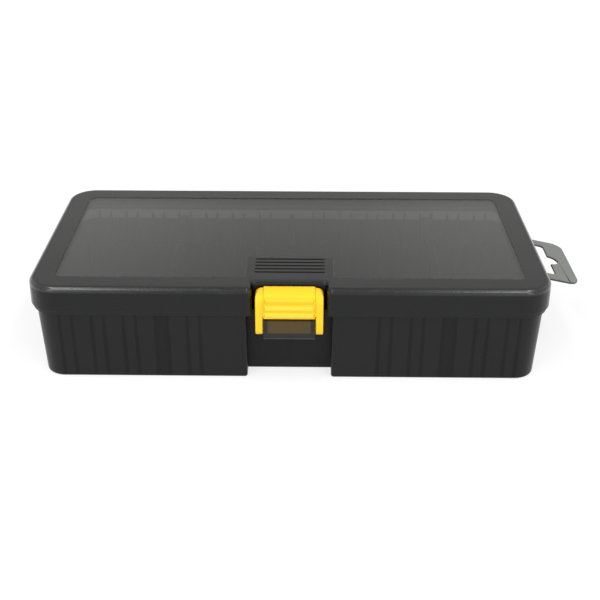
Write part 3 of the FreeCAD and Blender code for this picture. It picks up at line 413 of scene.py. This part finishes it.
def lid_finish(sizes, colours):
    """Clear glossy window in a spark-textured border, with smooth dark sides; window and border
    painted lighter towards the back and the ends, a painted highlight round the grip, a painted
    dark line at the border's edge and lighter painted faces inside.
    """
    finish = Finish("smoke_lid", **{"IOR": 1.5, "Specular IOR Level": 0.3, "Coat Roughness": 0.2})
    x, y, z = finish.x, finish.y, finish.z
    roof = z.rising(40.0, 40.6)
    corner = sizes.window_corner / MM
    half_length = sizes.window_half_length / MM
    half_depth = sizes.window_half_depth / MM
    grip_side = sizes.grip_half_width / MM
    grip_back = sizes.grip_back / MM
    outside = finish.past(abs(x), half_length - corner, abs(y), half_depth - corner) - corner
    grip = finish.past(abs(x), grip_side - 2, y, grip_back - 2) - 2
    window = (1 - outside.rising(-0.15, 0.15)) * grip.rising(-0.1, 0.1) * roof
    grip_painted_highlight = grip.near(0, 0.16, 0.12) * y.rising(-41.6, -41.2) * roof
    rim = finish.from_corner()
    # Painted reflection: a dark line at the border's outer edge stands in for the dark room
    # reflected there; the bump also sinks a small groove there.
    groove_and_painted_shade = rim.within(9.55, 10.15, 0.2) * roof
    top = z.rising(42.2, 42.7) * (1 - rim.rising(9.7, 10.1))
    border = top * (1 - window)
    # Painted light: the window and border are painted lighter towards the back, and the window
    # also towards its ends, as the light falls.
    painted_light_to_back = y.rising(-60, 55)
    haze = finish.noise(0.03, 2.0)
    spark = finish.noise(2.4, 4.0)
    hairline = (scratches(finish, 0.1, 2.5) + scratches(finish, 1.9, 0.14, 0.64)).least(1)
    worn = finish.noise(0.5, 3.0, (0.4, 1, 1)).rising(0.5, 0.68)
    rub = worn * rim.within(10.6, 11.9, 0.5) * roof
    window_with_painted_light = finish.shaded(colours.window, 0.4 + abs(x).rising(5, 100) * 0.47 + painted_light_to_back * 0.47)
    border_with_painted_light = finish.shaded(colours.border, 0.62 + painted_light_to_back * 0.6 + (spark - 0.5) * 0.25)
    niche = x.near(0, 16.0, 0.3) * (1 - y.rising(-44.0, -43.6))
    # Painted light: faces under the lid are given the lighter inside colour.
    inside = (1 - rim.rising(10.5, 10.9)) * (1 - z.rising(41.2, 41.6)) * (1 - niche)
    tone = finish.blend(top, finish.blend(inside, colours.skirt, colours.inside), border_with_painted_light)
    tone = finish.blend(window, tone, window_with_painted_light)
    tone = finish.blend(groove_and_painted_shade * 0.7, tone, (0.004, 0.004, 0.004))
    # Painted lighter: a painted highlight along the grip tongue's outline, rubbed wear at the
    # edge, and hairline scratches on the window.
    marks_and_highlight = grip_painted_highlight * 0.3 + rub * 0.04 + hairline * window * 0.012
    tone = finish.blend(marks_and_highlight, tone, (0.2, 0.205, 0.2))
    polish = rim.rising(10.4, 10.8) * z.rising(40.2, 40.8)
    gloss = border * 0.28 - window * 0.06 + (haze - 0.5) * 0.08 + hairline * 0.05
    finish.set(
        Base_Color=tone,
        Roughness=0.26 + gloss,
        Coat_Weight=polish * (0.28 + abs(x).rising(30, 96) * 0.42),
        Alpha=1 - window * (0.42 + finish.ray("Is Shadow Ray") * 0.45),
    )
    finish.bump(spark * border * 1.6 + hairline * 0.06 + haze * 0.5 - groove_and_painted_shade * 0.8, 0.00003)
    return finish


def latch_finish(colours):
    """Opaque yellow satin plastic, with a painted highlight on its ridges, painted shade in the
    hollows beside them, and a few dark specks.
    """
    finish = Finish("yellow_latch", **{"IOR": 1.49, "Specular IOR Level": 0.36})
    y, z = finish.y, finish.z
    haze = finish.noise(0.18, 2.0)
    grain = finish.noise(4.0, 3.0)
    flow = finish.noise(0.25, 2.0, (0.3, 1, 1))
    # Painted highlight: the front crests of the ridges are painted lighter where light catches
    # them; they are also smoother.
    crest_highlight = (1 - y.rising(-52.4, -52.1)) * (1 - abs(finish.x).rising(10.0, 10.3))
    speck = finish.noise(1.3, 4.0).rising(0.66, 0.74)
    # Painted shade: the hollows between the ridges are painted darker; the specks are dark dirt.
    hollow_shade = z.within(28.0, 41.5, 0.3) * y.within(-52.15, -51.95, 0.06)
    tone = finish.blend(0.25 * haze, colours.yellow, (0.86, 0.47, 0.012))
    tone = finish.blend(hollow_shade * 0.2 + speck * 0.06, tone, (0.45, 0.24, 0.01))
    tone = finish.blend(crest_highlight * 0.15, tone, (1.0, 0.78, 0.16))
    finish.set(
        Base_Color=tone,
        Roughness=0.4 + (haze - 0.5) * 0.16 - crest_highlight * 0.12 + speck * 0.1,
    )
    finish.bump(grain * 0.3 + flow * 0.8, 0.00002)
    return finish


def tab_finish(colours):
    """Frosted thin sheet with darker, clearer cut edges."""
    finish = Finish("frost_tab", IOR=1.49)
    flat = abs(finish.upward()).rising(0.88, 0.97)
    frost = finish.noise(3.2, 4.0)
    haze = finish.noise(0.15, 2.0)
    hairline = scratches(finish, 1.6, 0.12)
    tone = finish.blend(flat, (0.03, 0.032, 0.03), colours.frost)
    tone = finish.blend((haze - 0.5) * 0.4 + (frost - 0.5) * 0.2, tone, (0.36, 0.37, 0.34))
    crease = finish.x.near(108.2, 0.25, 0.15)
    finish.set(
        Base_Color=finish.blend(crease * 0.4 + hairline * 0.12, tone, (0.42, 0.43, 0.41)),
        Roughness=0.42 + flat * 0.14 + (haze - 0.5) * 0.1,
        Alpha=0.9 - finish.ray("Is Shadow Ray") * 0.3,
    )
    finish.bump(frost * 0.8 + crease * 0.8, 0.00002)
    return finish


def pin_finish(colours):
    """Drawn steel wire: fine lines along its length and a duller cut end."""
    finish = Finish("steel_pin", Metallic=1.0)
    drawn = finish.noise(9.0, 3.0, (0.04, 1, 1))
    stain = finish.noise(0.9, 3.0)
    tone = finish.blend(drawn * 0.4, colours.steel, (0.34, 0.34, 0.35))
    finish.set(
        Base_Color=finish.blend(stain.rising(0.55, 0.8) * 0.35, tone, (0.28, 0.25, 0.21)),
        Roughness=0.22 + drawn * 0.2 + stain * 0.08,
    )
    finish.bump(drawn, 0.00001)
    return finish


def divider_finish(colours):
    """Smoky plastic of the loose plates, with flow lines and rubbed upper edges."""
    finish = Finish("smoke_divider", IOR=1.5)
    z = finish.z
    haze = finish.noise(0.09, 2.0)
    flow = finish.noise(0.3, 3.0, (1, 0.3, 0.9))
    rub = z.rising(30.2, 30.9) * finish.noise(0.6, 3.0).rising(0.45, 0.65)
    tone = finish.blend((haze - 0.5) * 0.6, colours.divider, (0.06, 0.062, 0.06))
    finish.set(
        Base_Color=finish.blend(rub * 0.3, tone, (0.12, 0.124, 0.12)),
        Roughness=0.3 + (haze - 0.5) * 0.12 + (flow - 0.5) * 0.08 + rub * 0.12,
        Alpha=0.88 - finish.ray("Is Shadow Ray") * 0.3,
    )
    finish.bump(flow * 0.5, 0.00002)
    return finish


def deselect():
    """Clears the selection."""
    for item in bpy.context.selected_objects:
        item.select_set(False)


def take(piece):
    """Makes a piece the one selected object."""
    deselect()
    piece.select_set(True)
    bpy.context.view_layer.objects.active = piece


def merged_copy(node, name):
    """A copy of a CAD node, welded into one skin with flat faces joined."""
    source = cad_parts[node]
    piece = bpy.data.objects.new(name, source.data.copy())
    piece.data.name = name
    bpy.context.scene.collection.objects.link(piece)
    take(piece)
    bpy.ops.mesh.customdata_custom_splitnormals_clear()
    bpy.ops.object.mode_set(mode="EDIT")
    bpy.ops.mesh.select_all(action="SELECT")
    bpy.ops.mesh.remove_doubles(threshold=WELD_DISTANCE)
    bpy.ops.mesh.dissolve_limited(angle_limit=FLAT_ANGLE)
    bpy.ops.object.mode_set(mode="OBJECT")
    return piece


def round_outer_edges(piece, height, width):
    """Rounds the level edges at one height on the outside of a piece."""
    take(piece)
    bpy.ops.object.mode_set(mode="EDIT")
    bpy.ops.mesh.select_all(action="DESELECT")
    skin = bmesh.from_edit_mesh(piece.data)
    for edge in skin.edges:
        level = all(abs(corner.co.z - height) < LEVEL_TOLERANCE for corner in edge.verts)
        facing = [face.normal.z for face in edge.link_faces]
        if level and min(facing) < -0.9:
            edge.select_set(abs(max(facing)) < 0.3)
    bmesh.update_edit_mesh(piece.data)
    bpy.ops.mesh.bevel(offset=width, segments=3, profile=0.5)
    bpy.ops.object.mode_set(mode="OBJECT")


def soften(piece, width, steps):
    """Rounds a piece's hard edges as a mould does, and evens out its shading."""
    take(piece)
    edge = piece.modifiers.new("edge", "BEVEL")
    edge.width = width
    edge.segments = steps
    edge.limit_method = "ANGLE"
    edge.angle_limit = EDGE_ANGLE
    edge.use_clamp_overlap = False
    bpy.ops.object.modifier_apply(modifier=edge.name)
    bpy.ops.object.shade_smooth_by_angle(angle=SMOOTH_ANGLE)
    even = piece.modifiers.new("even", "WEIGHTED_NORMAL")
    even.keep_sharp = True
    bpy.ops.object.modifier_apply(modifier=even.name)


def stands_for(piece, body, *nodes):
    """Attaches a piece to the body it rides on and hides the CAD nodes it stands for."""
    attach(piece, body)
    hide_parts(*nodes)


class LUREBOX_OT_tray(Operator):
    """Dress the tray with softened edges in smoky plastic"""

    bl_idname = "lure_box.tray"
    bl_label = "Tray"

    def execute(self, context):
        sizes = context.scene.lure_box_sizes
        piece = merged_copy("tray", "smoke_tray")
        soften(piece, sizes.tray_edge, sizes.edge_steps)
        tray_finish(context.scene.lure_box_colours).wear(piece, "tray_smoke")
        stands_for(piece, "root", "tray")
        return {"FINISHED"}


class LUREBOX_OT_lid(Operator):
    """Dress the lid with its clear window and textured border"""

    bl_idname = "lure_box.lid"
    bl_label = "Lid"

    def execute(self, context):
        sizes = context.scene.lure_box_sizes
        piece = merged_copy("lid", "smoke_lid")
        round_outer_edges(piece, sizes.skirt_foot, sizes.skirt_edge)
        soften(piece, sizes.lid_edge, sizes.edge_steps)
        lid_finish(sizes, context.scene.lure_box_colours).wear(piece, "lid_smoke")
        stands_for(piece, "lid", "lid")
        return {"FINISHED"}


class LUREBOX_OT_latch(Operator):
    """Dress the yellow latch with soft moulded edges"""

    bl_idname = "lure_box.latch"
    bl_label = "Latch"

    def execute(self, context):
        sizes = context.scene.lure_box_sizes
        piece = merged_copy("latch", "yellow_latch")
        soften(piece, sizes.latch_edge, sizes.latch_steps)
        latch_finish(context.scene.lure_box_colours).wear(piece, "latch_yellow")
        stands_for(piece, "latch", "latch")
        return {"FINISHED"}


class LUREBOX_OT_hang_tab(Operator):
    """Dress the frosted hang tab"""

    bl_idname = "lure_box.hang_tab"
    bl_label = "Hang Tab"

    def execute(self, context):
        sizes = context.scene.lure_box_sizes
        piece = merged_copy("hang_tab", "frost_tab")
        soften(piece, sizes.tab_edge, sizes.edge_steps)
        tab_finish(context.scene.lure_box_colours).wear(piece, "tab_frosted")
        stands_for(piece, "hang_tab", "hang_tab")
        return {"FINISHED"}


class LUREBOX_OT_hinge_pins(Operator):
    """Model the two steel hinge pins with chamfered ends"""

    bl_idname = "lure_box.hinge_pins"
    bl_label = "Hinge Pins"

    def execute(self, context):
        sizes = context.scene.lure_box_sizes
        finish = pin_finish(context.scene.lure_box_colours)
        for node in ("hinge_pin_left", "hinge_pin_right"):
            low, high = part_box(node)
            middle = (low + high) / 2
            deselect()
            bpy.ops.mesh.primitive_cylinder_add(
                vertices=32,
                radius=(high.z - low.z) / 2,
                depth=high.x - low.x,
                location=middle,
                rotation=(0, math.pi / 2, 0),
            )
            piece = context.active_object
            piece.name = piece.data.name = "steel_" + node
            bpy.ops.object.transform_apply(location=True, rotation=True, scale=True)
            soften(piece, sizes.pin_chamfer, steps=1)
            finish.wear(piece, "pin_steel")
            stands_for(piece, "root", node)
        return {"FINISHED"}


class LUREBOX_OT_dividers(Operator):
    """Dress the four loose dividers"""

    bl_idname = "lure_box.dividers"
    bl_label = "Dividers"

    def execute(self, context):
        sizes = context.scene.lure_box_sizes
        finish = divider_finish(context.scene.lure_box_colours)
        for place in ("front_left", "front_right", "rear_left", "rear_right"):
            node = "divider_" + place
            piece = merged_copy(node, "smoke_" + node)
            soften(piece, sizes.divider_edge, sizes.edge_steps)
            finish.wear(piece, "divider_smoke")
            stands_for(piece, "root", node)
        return {"FINISHED"}


class LUREBOX_OT_stage(Operator):
    """Set the pale floor, the soft lamps, the backdrop and the camera"""

    bl_idname = "lure_box.stage"
    bl_label = "Stage"

    def execute(self, context):
        sizes = context.scene.lure_box_sizes
        colours = context.scene.lure_box_colours
        deselect()
        bpy.ops.mesh.primitive_plane_add(size=sizes.floor_size, location=(0, 0, 0))
        floor = context.active_object
        floor.name = floor.data.name = "studio_floor"
        floor.data.materials.append(floor_finish(colours).material)
        backdrop(context.scene)
        height = sizes.softbox_height
        strip, panel = (0.17, 1.6), (0.5, 0.94)
        add_lamp("left_softbox", (-0.42, -0.8, height), (0, -22, 0), strip, 6.1)
        add_lamp("right_softbox", (0.44, -0.8, height), (0, 22, 0), strip, 6.1)
        add_lamp("left_front_softbox", (-0.64, -1.2, 0.5), (84, 0, -28), panel, 3.0)
        add_lamp("right_front_softbox", (0.68, -1.2, 0.5), (84, 0, 28), panel, 3.0)
        bpy.ops.object.camera_add(location=sizes.camera_place, rotation=sizes.camera_turn)
        camera = context.active_object
        camera.name = "camera"
        camera.data.lens = sizes.camera_lens
        camera.data.sensor_width = 36
        camera.data.shift_x = sizes.camera_shift
        camera.data.clip_start = 0.01
        context.scene.camera = camera
        context.scene.view_settings.view_transform = "Standard"
        return {"FINISHED"}


def floor_finish(colours):
    """Pale floor that reads white, and still takes the box's soft shadow."""
    finish = Finish("pale_floor")
    seen = finish.seen()
    away = (finish.x * finish.x + finish.y * finish.y) ** 0.5
    white = finish.blend(away.rising(200, 1400), (0.72, 0.72, 0.72), (1.0, 1.0, 1.0))
    finish.set(
        Base_Color=finish.blend(seen, colours.floor, (0.33, 0.33, 0.33)),
        Roughness=0.9,
        Specular_IOR_Level=0.0,
        Emission_Color=finish.blend(seen, (0, 0, 0), white),
        Emission_Strength=1.0,
    )
    return finish


def backdrop(scene):
    """White in view, in gloss and through plastic; a plain soft light for all else."""
    world = scene.world or bpy.data.worlds.new("studio")
    scene.world = world
    studio = Nodes(world)
    strength = 0.56 + studio.seen() * 0.44
    light = studio.add("ShaderNodeBackground", values={"Color": (1, 1, 1), "Strength": strength})
    studio.add("ShaderNodeOutputWorld", values={"Surface": light.outputs[0]})


def add_lamp(name, place, turn, size, power):
    """A rectangular softbox; turn is in degrees."""
    bpy.ops.object.light_add(
        type="AREA", location=place, rotation=[math.radians(angle) for angle in turn]
    )
    lamp = bpy.context.active_object
    lamp.name = name
    lamp.data.shape = "RECTANGLE"
    lamp.data.size, lamp.data.size_y = size
    lamp.data.energy = power


OPERATORS = (
    LUREBOX_OT_tray,
    LUREBOX_OT_lid,
    LUREBOX_OT_latch,
    LUREBOX_OT_hang_tab,
    LUREBOX_OT_hinge_pins,
    LUREBOX_OT_dividers,
    LUREBOX_OT_stage,
)


class LUREBOX_PT_panel(Panel):
    """Lists the box's pieces, sizes and colours"""

    bl_idname = "LUREBOX_PT_panel"
    bl_label = "Lure Box"
    bl_space_type = "VIEW_3D"
    bl_region_type = "UI"
    bl_category = "Lure Box"

    def draw(self, context):
        layout = self.layout
        for operator in OPERATORS:
            layout.operator(operator.bl_idname)
        for group in (context.scene.lure_box_sizes, context.scene.lure_box_colours):
            column = layout.column(align=True)
            for name in group.__annotations__:
                column.prop(group, name)


CLASSES = (LureBoxSizes, LureBoxColours, *OPERATORS, LUREBOX_PT_panel)


def register():
    for item in CLASSES:
        bpy.utils.register_class(item)
    bpy.types.Scene.lure_box_sizes = PointerProperty(type=LureBoxSizes)
    bpy.types.Scene.lure_box_colours = PointerProperty(type=LureBoxColours)


def unregister():
    del bpy.types.Scene.lure_box_colours
    del bpy.types.Scene.lure_box_sizes
    for item in reversed(CLASSES):
        bpy.utils.unregister_class(item)


def main():
    register()
    for operator in OPERATORS:
        group, name = operator.bl_idname.split(".")
        getattr(getattr(bpy.ops, group), name)()


if __name__ == "__main__":
    main()
